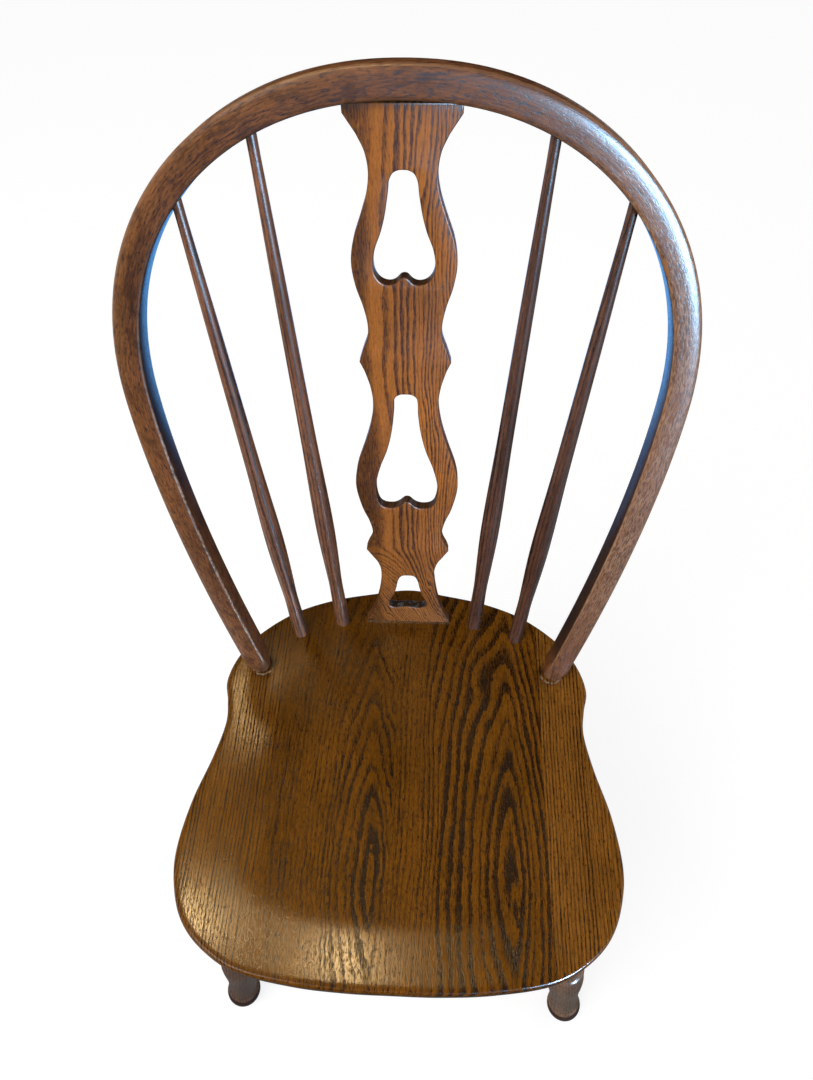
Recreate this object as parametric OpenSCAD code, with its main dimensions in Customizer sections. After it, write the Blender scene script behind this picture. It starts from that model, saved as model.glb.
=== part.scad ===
// Bow-back spindle chair in stained oak: a bent bow of square section, a pierced splat, four turned
// back spindles, a shaped and dished seat glued up from four boards, four splayed turned legs and an
// H of three turned stretchers. Millimetres, +Z up, front of the chair towards -Y, symmetric in X.
// The origin lies on the floor, at the middle of the chair's bounding box.

/* [Seat] */
// Height of the seat's top edge above the floor
seat_h = 440; // [400:5:500]
// Greatest width of the seat, across the front corners
seat_w = 430; // [380:5:500]
// Depth of the seat along its middle line
seat_d = 422; // [380:2:480]
// Thickness of the seat boards
seat_t = 34; // [28:1:45]
// Depth of the hollow in the middle of the seat
dish = 7; // [0:0.5:12]
// Distance from the seat's back edge to the front face of the bow, at seat height
bow_back = 119; // [90:1:150]
// Width of the seat's left outer board
board_left = 81; // [60:1:100]
// Distance of the middle glue line left of the middle
board_mid = 8; // [-20:1:20]
// Width of the seat's right outer board
board_right = 71; // [60:1:100]

/* [Bow] */
// Height of the bow above the seat, along its own slope
bow_h = 588; // [480:2:700]
// Width over the bow at its widest
bow_over = 472; // [400:2:560]
// Slope of the bow backwards from upright
bow_rake = 14.5; // [5:0.5:25]
// Width of the bow's section, seen from the front
bow_w = 22; // [18:1:30]
// Depth of the bow's section, front to back
bow_t = 24.4; // [18:0.2:32]
// Distance from the seat's widest side to the bow's outer face where it enters the seat
bow_side = 45; // [30:1:70]
// Roundness of the bow's four edges
bow_edge = 3; // [1:0.5:6]
// Radius of the round tenons at the bow's ends
bow_tenon_r = 9.5; // [7:0.5:11]

/* [Splat] */
// Thickness of the splat
splat_t = 11; // [8:0.5:14]
// Half width of the splat at its widest swelling
splat_half = 49; // [40:1:58]

/* [Spindles] */
// Distance of the inner spindles from the middle, at the seat
inner_x = 75.5; // [65:0.5:85]
// Distance of the inner spindles from the middle, at the bow
inner_top = 105; // [90:1:120]
// Distance of the outer spindles from the middle, at the seat
outer_x = 122; // [110:1:128]
// Distance of the outer spindles' tops from the bow's outermost side
outer_side = 71; // [60:1:90]
// Greatest radius of a spindle, at its swelling
spindle_r = 9.2; // [7:0.1:12]

/* [Legs] */
// Distance from the seat's widest side to the front legs' sockets
front_in = 51; // [40:1:80]
// Distance from the seat's front edge to the front legs' sockets
front_back = 88; // [60:1:120]
// How far a front foot stands out sideways from its socket
front_splay = 51; // [20:1:70]
// How far a front foot stands forward from its socket
front_rake = 36; // [10:1:60]
// Distance from the seat's widest side to the rear legs' sockets
rear_in = 102; // [80:1:130]
// Distance from the seat's back edge to the rear legs' sockets
rear_back = 108; // [80:1:140]
// How far a rear foot stands out sideways from its socket
rear_splay = 82; // [30:1:100]
// How far a rear foot stands backward from its socket
rear_rake = 106; // [40:1:130]
// Radius of the ball foot
ball_r = 21.5; // [18:0.5:26]
// Greatest radius of the leg's swelling
leg_r = 23.5; // [20:0.5:28]
// Radius of the leg's tenon in the seat
leg_tenon_r = 11; // [9:0.5:13]
// Height of the stretchers above the floor
stretch_h = 140; // [110:5:180]
// Radius of the stretchers in the middle
stretch_r = 13; // [10:0.5:16]

/* [Joints] */
// Glue room around every tenon
glue = 0.05; // [0.02:0.01:0.2]
// Depth of the tenons in the seat
tenon_l = 18; // [14:1:22]

/* [Hidden] */
$fn = 48;

oak_seat = [0.33, 0.18, 0.06];
oak_bow = [0.34, 0.19, 0.13];
oak_splat = [0.52, 0.29, 0.14];
oak_dark = [0.26, 0.15, 0.11];

// the chair stands with its bounding box centred on the origin
back_y = bow_h * sin(bow_rake) + bow_t * cos(bow_rake);
front_y = bow_back - seat_d;
cy = -(back_y + front_y) / 2;

// ---- smooth curve through hand-set points (Catmull-Rom)
function cr(a, b, c, d, t) =
    0.5 * (2 * b + (c - a) * t + (2 * a - 5 * b + 4 * c - d) * t * t
    + (3 * b - a - 3 * c + d) * t * t * t);
function smooth_open(p, n) = let (m = len(p))
    [for (i = [0:m - 2]) for (k = [0:n - 1])
        cr(i == 0 ? 2 * p[0] - p[1] : p[i - 1], p[i], p[i + 1],
           i == m - 2 ? 2 * p[m - 1] - p[m - 2] : p[i + 2], k / n),
     p[m - 1]];
function last(p) = p[len(p) - 1];
function flip_x(p) = [for (i = [len(p) - 1:-1:0]) [-p[i][0], p[i][1]]];

// ---- seat outline: right half from the middle of the back round to the middle of the front,
// each point a share of half the width and a share of the depth
seat_key = [[0, 0], [0.2, 0.016], [0.41, 0.04], [0.61, 0.083], [0.78, 0.152], [0.875, 0.222],
    [0.915, 0.295], [0.893, 0.355], [0.882, 0.415], [0.915, 0.505], [0.972, 0.612], [1, 0.72],
    [0.983, 0.796], [0.925, 0.87], [0.82, 0.926], [0.66, 0.969], [0.42, 0.991], [0.2, 0.999],
    [0, 1]];
// the mirrored neighbour on each end keeps the curve level where it crosses the middle
SK = len(seat_key);
function seat_at(i) = i < 0 ? [-seat_key[1][0], seat_key[1][1]]
    : i >= SK ? [-seat_key[SK - 2][0], seat_key[SK - 2][1]] : seat_key[i];
seat_half = [for (i = [0:SK - 2]) for (k = [0:1])
    cr(seat_at(i - 1), seat_at(i), seat_at(i + 1), seat_at(i + 2), k / 2)];
seat_pts = [for (p = seat_half) [p[0] * seat_w / 2, bow_back - p[1] * seat_d + cy]];
seat_right = concat(seat_pts, [[0, bow_back - seat_d + cy]]);
seat_ring = concat([for (p = seat_right) [-p[0], p[1]]],
    [for (i = [len(seat_right) - 2:-1:1]) seat_right[i]]);
SN = len(seat_ring);
seat_mid = [0, bow_back - 0.52 * seat_d + cy];
function inward(i) = let (a = seat_ring[(i + SN - 1) % SN], b = seat_ring[(i + 1) % SN],
    d = b - a, l = norm(d)) [-d[1] / l, d[0] / l];
// ring drawn in by m millimetres, at height z above the seat's top edge
function ring_in(m, z) = [for (i = [0:SN - 1])
    let (p = seat_ring[i] + inward(i) * m) [p[0], p[1], seat_h + z]];
// ring shrunk towards the middle, with the hollow's depth
function hollow(k) = let (t = min(1, max(0, (0.74 - k) / 0.74)))
    -dish * (1 - pow(1 - t, 2.2)) * t / (t + 0.12) * 1.12;
function ring_k(k, z) = [for (i = [0:SN - 1]) let (p = seat_ring[i] + inward(i) * 6)
    [seat_mid[0] + (p[0] - seat_mid[0]) * k, seat_mid[1] + (p[1] - seat_mid[1]) * k,
     seat_h + z]];
seat_rings = [ring_in(19, -seat_t), ring_in(6, -seat_t + 10), ring_in(1, -16), ring_in(0, -11),
    ring_in(0, -5), ring_in(1.5, -1.5), ring_in(5, 0)];
hollow_rings = [ring_k(0.15, -dish), for (k = [0.3, 0.44, 0.56, 0.66]) ring_k(k, hollow(k)),
    ring_k(0.74, 0.02), ring_k(0.78, 4)];
// rings of equal count, first and last closed by flat faces
module ring_solid(rings) {
    n = len(rings[0]);
    m = len(rings);
    faces = concat([[for (i = [0:n - 1]) i]],
        [for (j = [0:m - 2]) for (i = [0:n - 1]) let (a = j * n + i, b = j * n + (i + 1) % n)
            each [[a, a + n, b], [b, a + n, b + n]]],
        [[for (i = [n - 1:-1:0]) (m - 1) * n + i]]);
    polyhedron([for (r = rings) for (p = r) p], faces, convexity = 6);
}
module seat_solid() {
    difference() {
        ring_solid(seat_rings);
        ring_solid(hollow_rings);
    }
}

// ---- placing: +Z of the child runs from a to b
module stick(a, b) {
    d = b - a;
    translate(a) rotate([0, acos(d[2] / norm(d)), atan2(d[1], d[0])]) children();
}
module turned(p) {
    rotate_extrude() polygon(concat([[0, p[0][1]]], p, [[0, last(p)[1]]]));
}
module both() { children(); mirror([1, 0, 0]) children(); }

// ---- bow: its plane leans back; u across, n into the bow from its front face, v up the slope
module bow_frame() { translate([0, cy, seat_h]) rotate([-bow_rake, 0, 0]) children(); }
function bow_at(u, n, v) = [u, cy + v * sin(bow_rake) + n * cos(bow_rake),
    seat_h + v * cos(bow_rake) - n * sin(bow_rake)];
bow_a = bow_over / 2 - bow_w / 2;
bow_c = bow_h - bow_over / 2 + 1;
bow_b = bow_h - bow_w / 2 - bow_c;
bow_in = bow_over / 2 - seat_w / 2 + bow_side;
sq = 2 / 2.15;
// centre line, half: upright part narrowing to the seat, then a squarish half round
function bow_leg(v) = [bow_a - bow_in * pow((bow_c - v) / bow_c, 1.55), v];
function bow_arch(t) = [bow_a * pow(cos(t), sq), bow_c + bow_b * pow(sin(t), sq)];
bow_low = 24;
bow_half = concat([for (i = [0:9]) bow_leg(bow_low + (bow_c - bow_low) * i / 10)],
    [for (i = [0:23]) bow_arch(i * 90 / 24)]);
bow_line = concat(bow_half, [[0, bow_c + bow_b]],
    [for (i = [len(bow_half) - 1:-1:0]) [-bow_half[i][0], bow_half[i][1]]]);
BN = len(bow_line);
bow_end_dir = let (d = bow_leg(bow_low + 2) - bow_leg(bow_low)) d / norm(d);
bow_tilt = atan2(bow_end_dir[0], bow_end_dir[1]);
function bow_end(s) = bow_leg(bow_low) - bow_end_dir * s;
function tan_at(i) = let (a = bow_line[max(0, i - 1)], b = bow_line[min(BN - 1, i + 1)], d = b - a)
    d / norm(d);
// section: a rectangle of half sizes w and t with corner radius r, 16 points
function section(c, d, w, t, r) = [for (q = [0:3]) for (k = [0:3])
    let (a = q * 90 + 11.25 + k * 22.5,
         x = (q == 0 || q == 3 ? 1 : -1) * (w - r) + r * cos(a),
         y = (q < 2 ? 1 : -1) * (t - r) + r * sin(a))
    [c[0] + d[1] * x, bow_t / 2 + y, c[1] - d[0] * x]];
// near the seat the rings slide along the bow's end until they lie level, g above the seat
function end_ring(g, w, t, r, m) = let (c = bow_end(level(g)), d = [bow_end_dir[0], bow_end_dir[1] * m])
    [for (p = section([m * c[0], c[1]], d, w, t, r))
        let (y = p[1] - bow_t / 2, k = (c[1] + y * tan(bow_rake) - p[2]) / d[1])
        [p[0] + d[0] * k, p[1], p[2] + d[1] * k]];
function level(g) = (bow_low - g - bow_t / 2 * tan(bow_rake)) / bow_end_dir[1];
bow_deep = level(0) + tenon_l;
bow_ends = [[-tenon_l, bow_tenon_r, bow_tenon_r, bow_tenon_r],
    [1.5, bow_tenon_r, bow_tenon_r, bow_tenon_r], [2, 10.2, 10.9, 9.8],
    [5, 10.8, 11.8, 8], [10, bow_w / 2, bow_t / 2, bow_edge + 2]];
bow_rings = concat(
    [for (e = bow_ends) end_ring(e[0], e[1], e[2], e[3], 1)],
    [for (i = [0:BN - 1]) section(bow_line[i], tan_at(i), bow_w / 2, bow_t / 2, bow_edge)],
    [for (k = [4:-1:0]) let (e = bow_ends[k]) end_ring(e[0], e[1], e[2], e[3], -1)]);
bow_end_c = bow_end(bow_deep + 6);
module bow_solid() {
    bow_frame() ring_solid(bow_rings);
}
module bow_socket() {
    bow_frame() both() translate([bow_end_c[0], bow_t / 2, bow_end_c[1]]) rotate([0, bow_tilt, 0])
        rotate([0, 0, 30]) cylinder(r = bow_tenon_r + glue, h = 60);
}

// ---- splat: local x across, z up its own slope from the seat, y into its thickness
splat_y = bow_back - 44;
splat_top = bow_at(0, (bow_t - splat_t) / 2, bow_h - bow_w + 6);
splat_rake = atan2(splat_top[1] - splat_y - cy, splat_top[2] - seat_h);
splat_l = norm([splat_top[1] - splat_y - cy, splat_top[2] - seat_h]);
module splat_frame() { translate([0, splat_y + cy, seat_h]) rotate([-splat_rake, 0, 0]) children(); }
// right edge from the seat to the bow: half width as a share of the widest, height in millimetres
q = splat_half / 49;
hs = splat_l / 556;
low_edge = [[46, -4], [43, 6], [36, 28], [31, 52], [28.5, 80], [31, 96], [37.5, 108]];
knee_edge = [[42.8, 117], [40.5, 124], [36.5, 134], [35.5, 145], [38.5, 160], [44, 176],
    [48.5, 198], [49, 214], [46, 232], [38.5, 256], [32, 280], [29, 302], [30.5, 320],
    [35, 337]];
mid_edge = [[38.8, 346], [35, 358], [31, 370], [30.5, 382], [33.5, 398], [38.5, 415],
    [41, 434], [38.5, 452], [32, 471], [27, 487], [25, 502], [27, 516], [32.5, 528]];
top_edge = [[41.2, 541], [41.6, 550], [41.6, 556]];
splat_edge = concat(smooth_open(low_edge, 3), smooth_open(knee_edge, 3),
    smooth_open(mid_edge, 3), top_edge);
module plate(p) {
    translate([0, splat_t, 0]) rotate([90, 0, 0]) linear_extrude(splat_t)
        polygon([for (a = p) [a[0] * q, a[1] * hs]]);
}
module cutout(p) {
    translate([0, splat_t + 1, 0]) rotate([90, 0, 0]) linear_extrude(splat_t + 2)
        polygon([for (a = concat(p, flip_x(p))) [a[0] * q, a[1] * hs]]);
}
cut_top = smooth_open([[0.5, 423], [3, 422], [7, 418], [12, 416.5], [18, 418.5],
    [22.5, 424.5], [24, 434], [22, 446], [17.5, 458], [14, 471], [11.5, 486], [10.5, 495], [8, 501], [4, 503.5], [0.5, 504]], 3);
cut_mid = smooth_open([[0.5, 186], [3, 185], [8, 180], [14, 177.5], [22, 178.5],
    [27, 184], [29.5, 197], [29, 212], [24.5, 231], [18, 250], [13.5, 270], [11, 290], [10.5, 304], [9, 310], [5, 313], [0.5, 313.5]], 3);
cut_low = smooth_open([[0.5, 27.5], [4, 26.5], [9, 24], [15, 24], [19.5, 26], [21, 31], [19, 38], [15.5, 46],
    [13, 56], [11, 67], [8.5, 74], [5, 77], [0.5, 77.5]], 3);
splat_tenon = [60, 13];
module splat_solid() {
    difference() {
        splat_frame() difference() {
            plate(concat(splat_edge, flip_x(splat_edge)));
            cutout(cut_top);
            cutout(cut_mid);
            cutout(cut_low);
        }
        translate([-100, cy - 100, seat_h - 30]) cube([200, 400, 30]);
    }
}
module splat_seat_tenon(g) {
    intersection() {
        splat_frame() translate([-splat_tenon[0] / 2 - g, 1 - g, -splat_tenon[1] - g])
            cube([splat_tenon[0] + 2 * g, splat_t - 2 + 2 * g, splat_tenon[1] + 8]);
        translate([-100, cy - 100, seat_h - 30]) cube([200, 400, g > 0 ? 31 : 30]);
    }
}
module splat_bow_slot() {
    splat_frame() translate([-41.6 * q - glue, -glue, splat_l - 25])
        cube([83.2 * q + 2 * glue, splat_t + 2 * glue, 25.5]);
}

// ---- back spindles
function spin_low(x, y) = [x, y + cy, seat_h];
function bow_under(u) = let (a = bow_a - bow_w / 2, b = bow_b - bow_w / 2)
    bow_c + b * pow(1 - pow(u / a, 2.15), 1 / 2.15);
inner_a = spin_low(inner_x, bow_back - 46);
outer_a = spin_low(outer_x, bow_back - 62);
inner_b = bow_at(inner_top, bow_t / 2, bow_under(inner_top));
outer_top = bow_over / 2 - outer_side;
outer_b = bow_at(outer_top, bow_t / 2, bow_under(outer_top));
// turned shape: radius as a share of the swelling, height as a share of the visible length
spin_key = [[0.83, 0.03], [0.82, 0.07], [0.78, 0.125], [0.87, 0.18], [0.96, 0.235], [1, 0.285],
    [0.97, 0.345], [0.89, 0.41], [0.79, 0.49], [0.72, 0.59], [0.655, 0.7], [0.59, 0.8],
    [0.5, 0.9], [0.44, 0.97]];
spin_end_r = 0.44 * spindle_r;
module spindle(a, b) {
    l = norm(b - a);
    stick(a, b) turned(concat([[0.83 * spindle_r, -tenon_l + 2]],
        smooth_open([for (k = spin_key) [k[0] * spindle_r, k[1] * l]], 2),
        [[spin_end_r, l + 10]]));
}
module spindle_low_socket(a, b) {
    stick(a, b) translate([0, 0, -tenon_l + 1.5]) rotate([0, 0, 30])
        cylinder(r = 0.83 * spindle_r + glue, h = tenon_l + 8);
}
module spindle_top_socket(a, b) {
    l = norm(b - a);
    stick(a, b) translate([0, 0, l - 14]) cylinder(r = spin_end_r + glue, h = 24.5);
}

// ---- legs: from the floor at a to the seat socket at b
front_b = [seat_w / 2 - front_in, front_y + front_back + cy, seat_h - seat_t];
front_a = [front_b[0] + front_splay, front_b[1] - front_rake, 0];
rear_b = [seat_w / 2 - rear_in, bow_back - rear_back + cy, seat_h - seat_t];
rear_a = [rear_b[0] + rear_splay, rear_b[1] + rear_rake, 0];
leg_key = [[0.9, 6], [0.985, 12], [1, 17], [0.965, 22], [0.9, 25.5], [0.95, 28], [0.985, 31],
    [0.94, 34], [0.865, 37], [0.85, 45], [0.88, 58], [0.95, 80]];
function leg_upper(l) = [[0.94, 105], [1, 135], [0.99, 160], [0.9, 178], [0.83, 183],
    [0.95, 188], [0.95, 194], [0.8, 199], [0.74, 208], [0.8, min(240, l / 2 + 44)],
    [0.91, l - 120], [0.9, l - 95], [0.76, l - 72],
    [0.66, l - 66], [0.76, l - 61], [0.76, l - 55], [0.62, l - 50]];
module leg_shape(l) {
    foot = smooth_open([for (k = leg_key) [k[0] * ball_r, k[1]]], 2);
    rotate([0, 0, 30]) turned(concat([[0.5 * ball_r, -8]], foot,
        smooth_open([for (k = leg_upper(l)) [k[0] * leg_r, k[1]]], 2),
        [[leg_tenon_r + 1.2, l - 22], [leg_tenon_r, l - 8], [leg_tenon_r, l + tenon_l]]));
}
module leg_socket(a, b) {
    stick(b, 2 * b - a) translate([0, 0, -12]) rotate([0, 0, 30])
        cylinder(r = leg_tenon_r + glue, h = tenon_l + 12.5);
}
module floor_cut() { translate([-400, -400, -50]) cube([800, 800, 50]); }
function on_leg(a, b, z) = a + (b - a) * z / (b[2] - a[2]);

// ---- stretchers
side_a = on_leg(front_a, front_b, stretch_h);
side_b = on_leg(rear_a, rear_b, stretch_h + 12);
side_m = (side_a + side_b) / 2;
cross_m = [-side_m[0], side_m[1], side_m[2]];
side_tip = 8;
cross_tip = 4;
tip_r = 7;
cross_tip_r = 6;
module stretcher(a, b, tip, bare, r0, r) {
    l = norm(b - a);
    h = [[r0, bare + 3], [r0 + 1.2, bare + 16], [0.78 * r, l * 0.27], [0.95 * r, l * 0.4], [r, l * 0.5]];
    half = smooth_open(h, 4);
    stick(a, b) turned(concat([[r0, tip]], half,
        [for (i = [len(half) - 2:-1:0]) [half[i][0], l - half[i][1]]], [[r0, l - tip]]));
}
module stretch_socket(a, b, tip, r0, h) {
    stick(a, b) translate([0, 0, tip - 0.5]) rotate([0, 0, 40]) cylinder(r = r0 + glue, h = h);
}
function mx(p) = [-p[0], p[1], p[2]];

// ---- seat boards
joint_x = [-seat_w, board_left - seat_w / 2, -board_mid, seat_w / 2 - board_right, seat_w];
module board(i) {
    color(oak_seat) difference() {
        intersection() {
            seat_solid();
            translate([joint_x[i], -seat_d, seat_h - seat_t - 10])
                cube([joint_x[i + 1] - joint_x[i], 2 * seat_d, seat_t + 20]);
        }
        bow_socket();
        splat_seat_tenon(glue);
        both() {
            spindle_low_socket(inner_a, inner_b);
            spindle_low_socket(outer_a, outer_b);
            leg_socket(front_a, front_b);
            leg_socket(rear_a, rear_b);
        }
    }
}
module seat_board_1() { board(0); }
module seat_board_2() { board(1); }
module seat_board_3() { board(2); }
module seat_board_4() { board(3); }
module bow() {
    color(oak_bow) difference() {
        bow_solid();
        both() spindle_top_socket(inner_a, inner_b);
        both() spindle_top_socket(outer_a, outer_b);
        splat_bow_slot();
    }
}
module splat() {
    color(oak_splat) { splat_solid(); splat_seat_tenon(0); }
}
module spindle_inner_right() { color(oak_dark) spindle(inner_a, inner_b); }
module spindle_inner_left() { color(oak_dark) mirror([1, 0, 0]) spindle(inner_a, inner_b); }
module spindle_outer_right() { color(oak_dark) spindle(outer_a, outer_b); }
module spindle_outer_left() { color(oak_dark) mirror([1, 0, 0]) spindle(outer_a, outer_b); }
module front_leg() {
    difference() {
        stick(front_a, front_b) leg_shape(norm(front_b - front_a));
        floor_cut();
        stretch_socket(side_a, side_b, side_tip, tip_r, 40);
    }
}
module rear_leg() {
    difference() {
        stick(rear_a, rear_b) leg_shape(norm(rear_b - rear_a));
        floor_cut();
        stretch_socket(side_b, side_a, side_tip, tip_r, 40);
    }
}
module leg_front_right() { color(oak_dark) front_leg(); }
module leg_front_left() { color(oak_dark) mirror([1, 0, 0]) front_leg(); }
module leg_rear_right() { color(oak_dark) rear_leg(); }
module leg_rear_left() { color(oak_dark) mirror([1, 0, 0]) rear_leg(); }
module side_stretcher() {
    difference() {
        stretcher(side_a, side_b, side_tip, 22, tip_r, stretch_r);
        stretch_socket(side_m, cross_m, cross_tip, cross_tip_r, 30);
    }
}
module stretcher_right() { color(oak_dark) side_stretcher(); }
module stretcher_left() { color(oak_dark) mirror([1, 0, 0]) side_stretcher(); }
module stretcher_cross() {
    color(oak_dark) stretcher(side_m, cross_m, cross_tip, 10, cross_tip_r, stretch_r);
}

seat_board_1();
seat_board_2();
seat_board_3();
seat_board_4();
bow();
splat();
spindle_inner_left();
spindle_inner_right();
spindle_outer_left();
spindle_outer_right();
leg_front_left();
leg_front_right();
leg_rear_left();
leg_rear_right();
stretcher_left();
stretcher_right();
stretcher_cross();
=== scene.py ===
"""Bow-back spindle chair in dark stained oak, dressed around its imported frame.
Every length below is in millimetres until it reaches a mesh, where it becomes metres."""
import math

import bmesh
import bpy
from mathutils import Matrix, Vector


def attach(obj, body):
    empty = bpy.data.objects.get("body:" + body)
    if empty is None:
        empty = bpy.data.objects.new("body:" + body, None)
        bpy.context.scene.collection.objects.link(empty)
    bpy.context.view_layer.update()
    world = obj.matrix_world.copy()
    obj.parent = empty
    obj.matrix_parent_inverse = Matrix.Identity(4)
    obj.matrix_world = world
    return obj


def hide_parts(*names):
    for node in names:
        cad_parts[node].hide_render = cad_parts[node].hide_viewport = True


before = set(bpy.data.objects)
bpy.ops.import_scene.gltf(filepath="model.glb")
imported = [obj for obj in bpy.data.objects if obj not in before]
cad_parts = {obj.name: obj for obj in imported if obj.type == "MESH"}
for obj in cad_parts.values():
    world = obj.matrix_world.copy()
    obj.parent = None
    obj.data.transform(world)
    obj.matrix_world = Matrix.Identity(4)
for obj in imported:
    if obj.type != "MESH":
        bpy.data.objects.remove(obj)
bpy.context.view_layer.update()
scene = bpy.context.scene
MM = 0.001

# ---------------------------------------------------------------- the chair's sizes
SEAT_H, SEAT_W, SEAT_D, SEAT_T, DISH = 440, 430, 422, 34, 7
BOW_BACK = 119  # from the bow's foot to the back of the seat
BOW_H, BOW_OVER, BOW_RAKE = 588, 472, math.radians(14.5)  # height up the slope, width over all, lean
BOW_W, BOW_T, BOW_EDGE, BOW_TENON = 22, 24.4, 2.6, 9.5  # section, its corners, its round ends
BOW_SIDE = 45  # the bow's foot stands this far in from the seat's widest point
SPLAT_T = 11
SPINDLE_R = 9.2
BALL_R, LEG_R, LEG_TENON = 21.5, 23.5, 11
STRETCH_H, STRETCH_R = 140, 13
FRONT_Y = BOW_BACK - SEAT_D
BACK_Y = BOW_H * math.sin(BOW_RAKE) + BOW_T * math.cos(BOW_RAKE)
CY = -(BACK_Y + FRONT_Y) / 2  # the middle of the whole chair lies at y = 0
FAR = 300  # beyond the seat on either side
JOINTS = [-FAR, 81 - SEAT_W / 2, -8, SEAT_W / 2 - 71, FAR]  # glue lines of the seat


# ---------------------------------------------------------------- camera
CAM_PLACE = (0.0294, -0.338, 1.2385)  # metres
CAM_YAW, CAM_DOWN, CAM_ROLL = -3.48, 53.23, -1.4  # degrees
CAM_SENSOR, CAM_LENS = 36, 26.81


def make_camera():
    cam = bpy.data.objects.new("camera", bpy.data.cameras.new("camera"))
    scene.collection.objects.link(cam)
    yaw, pitch, roll = math.radians(CAM_YAW), math.radians(CAM_DOWN), math.radians(CAM_ROLL)
    look = Vector((math.sin(yaw) * math.cos(pitch), math.cos(yaw) * math.cos(pitch), -math.sin(pitch)))
    right = look.cross(Vector((0, 0, 1))).normalized()
    up = right.cross(look)
    x_axis = right * math.cos(roll) + up * math.sin(roll)
    y_axis = up * math.cos(roll) - right * math.sin(roll)
    turn = Matrix((x_axis, y_axis, -look)).transposed().to_4x4()
    cam.matrix_world = Matrix.Translation(CAM_PLACE) @ turn
    cam.data.sensor_width = CAM_SENSOR
    cam.data.lens = CAM_LENS
    cam.data.clip_start = 0.01
    scene.camera = cam


make_camera()
scene.view_settings.view_transform = "Standard"


# ---------------------------------------------------------------- small helpers
def smooth_line(points, n, closed=False):
    """Catmull-Rom curve through the points, n steps for each span."""
    m = len(points)
    pts = [Vector(p) for p in points]
    out = []
    for i in range(m if closed else m - 1):
        b, c = pts[i], pts[(i + 1) % m]
        a = pts[i - 1] if closed or i else b * 2 - c
        d = pts[(i + 2) % m] if closed or i < m - 2 else c * 2 - b
        for k in range(n):
            t = k / n
            p = 2 * b + (c - a) * t + (2 * a - 5 * b + 4 * c - d) * t**2
            out.append(0.5 * (p + (3 * b - a - 3 * c + d) * t**3))
    if not closed:
        out.append(pts[-1].copy())
    return out


def ease(a, b, x):
    """Smooth rise from 0 at a to 1 at b."""
    t = min(1.0, max(0.0, (x - a) / (b - a)))
    return t * t * (3 - 2 * t)


def new_piece(name, bm, node, sharp=38):
    """A finished mesh becomes a piece that rides on the chair and stands for a CAD node."""
    bmesh.ops.recalc_face_normals(bm, faces=bm.faces)
    for v in bm.verts:
        v.co *= MM
    mesh = bpy.data.meshes.new(name)
    bm.to_mesh(mesh)
    bm.free()
    for p in mesh.polygons:
        p.use_smooth = True
    mesh.set_sharp_from_angle(angle=math.radians(sharp))
    ob = bpy.data.objects.new(name, mesh)
    scene.collection.objects.link(ob)
    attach(ob, "root")
    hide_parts(node)
    return ob


def layers(bm):
    """Two values for each vertex: wood coordinates (across, along the grain, depth), and what the place is:
    1 a rubbed edge, 0 a plain face, -1 the seat's side and underside, painted dark as shade, and on a leg its
    dark ball foot."""
    return bm.verts.layers.float_vector.new("grain"), bm.verts.layers.float.new("edge")


def skin_rings(bm, rings, closed_ends=True):
    """Joins equal rings of vertices into a closed tube."""
    n = len(rings[0])
    for a, b in zip(rings, rings[1:]):
        for i in range(n):
            bm.faces.new((a[i], a[(i + 1) % n], b[(i + 1) % n], b[i]))
    if closed_ends:
        bm.faces.new(list(reversed(rings[0])))
        bm.faces.new(rings[-1])


def close_cut(bm):
    """Fills the holes that a cut has left."""
    open_edges = [e for e in bm.edges if e.is_boundary]
    if open_edges:
        bmesh.ops.holes_fill(bm, edges=open_edges, sides=0)


# ---------------------------------------------------------------- shader building
class Val:
    """A number in a material, so that sums of nodes can be written as sums."""

    tree = None

    def __init__(self, src):
        self.src = src

    @staticmethod
    def op(kind, *args, clamp=False):
        node = Val.tree.nodes.new("ShaderNodeMath")
        node.operation = kind
        node.use_clamp = clamp
        for i, a in enumerate(args):
            a = a.src if isinstance(a, Val) else a
            if isinstance(a, (int, float)):
                node.inputs[i].default_value = a
            else:
                Val.tree.links.new(a, node.inputs[i])
        return Val(node.outputs[0])

    def __add__(self, o):
        return Val.op("ADD", self, o)

    __radd__ = __add__

    def __sub__(self, o):
        return Val.op("SUBTRACT", self, o)

    def __rsub__(self, o):
        return Val.op("SUBTRACT", o, self)

    def __mul__(self, o):
        return Val.op("MULTIPLY", self, o)

    __rmul__ = __mul__

    def __truediv__(self, o):
        return Val.op("DIVIDE", self, o)

    def __neg__(self):
        return Val.op("MULTIPLY", self, -1.0)


def sin(x):
    return Val.op("SINE", x)


def sqrt(x):
    return Val.op("SQRT", x)


def tanh(x):
    return Val.op("TANH", x)


def exp(x):
    return Val.op("EXPONENT", x)


def fract(x):
    return Val.op("FRACT", x)


def floor(x):
    return Val.op("FLOOR", x)


def power(x, p):
    return Val.op("POWER", x, p)


def size_of(x):
    return Val.op("ABSOLUTE", x)


def most(a, b):
    return Val.op("MAXIMUM", a, b)


def clamp01(x):
    return Val.op("ADD", x, 0.0, clamp=True)


def step(a, b, x, lo=0.0, hi=1.0):
    """Smooth rise from lo at a to hi at b."""
    node = Val.tree.nodes.new("ShaderNodeMapRange")
    node.interpolation_type = "SMOOTHSTEP"
    for name, v in (("Value", x), ("From Min", a), ("From Max", b), ("To Min", lo), ("To Max", hi)):
        v = v.src if isinstance(v, Val) else v
        if isinstance(v, (int, float)):
            node.inputs[name].default_value = v
        else:
            Val.tree.links.new(v, node.inputs[name])
    return Val(node.outputs[0])


def blob(x, y, cx, cy, rx, ry):
    """1 at (cx, cy), falling to 0 over the radii."""
    dx, dy = (x - cx) / rx, (y - cy) / ry
    return exp(-(dx * dx + dy * dy))


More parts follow.
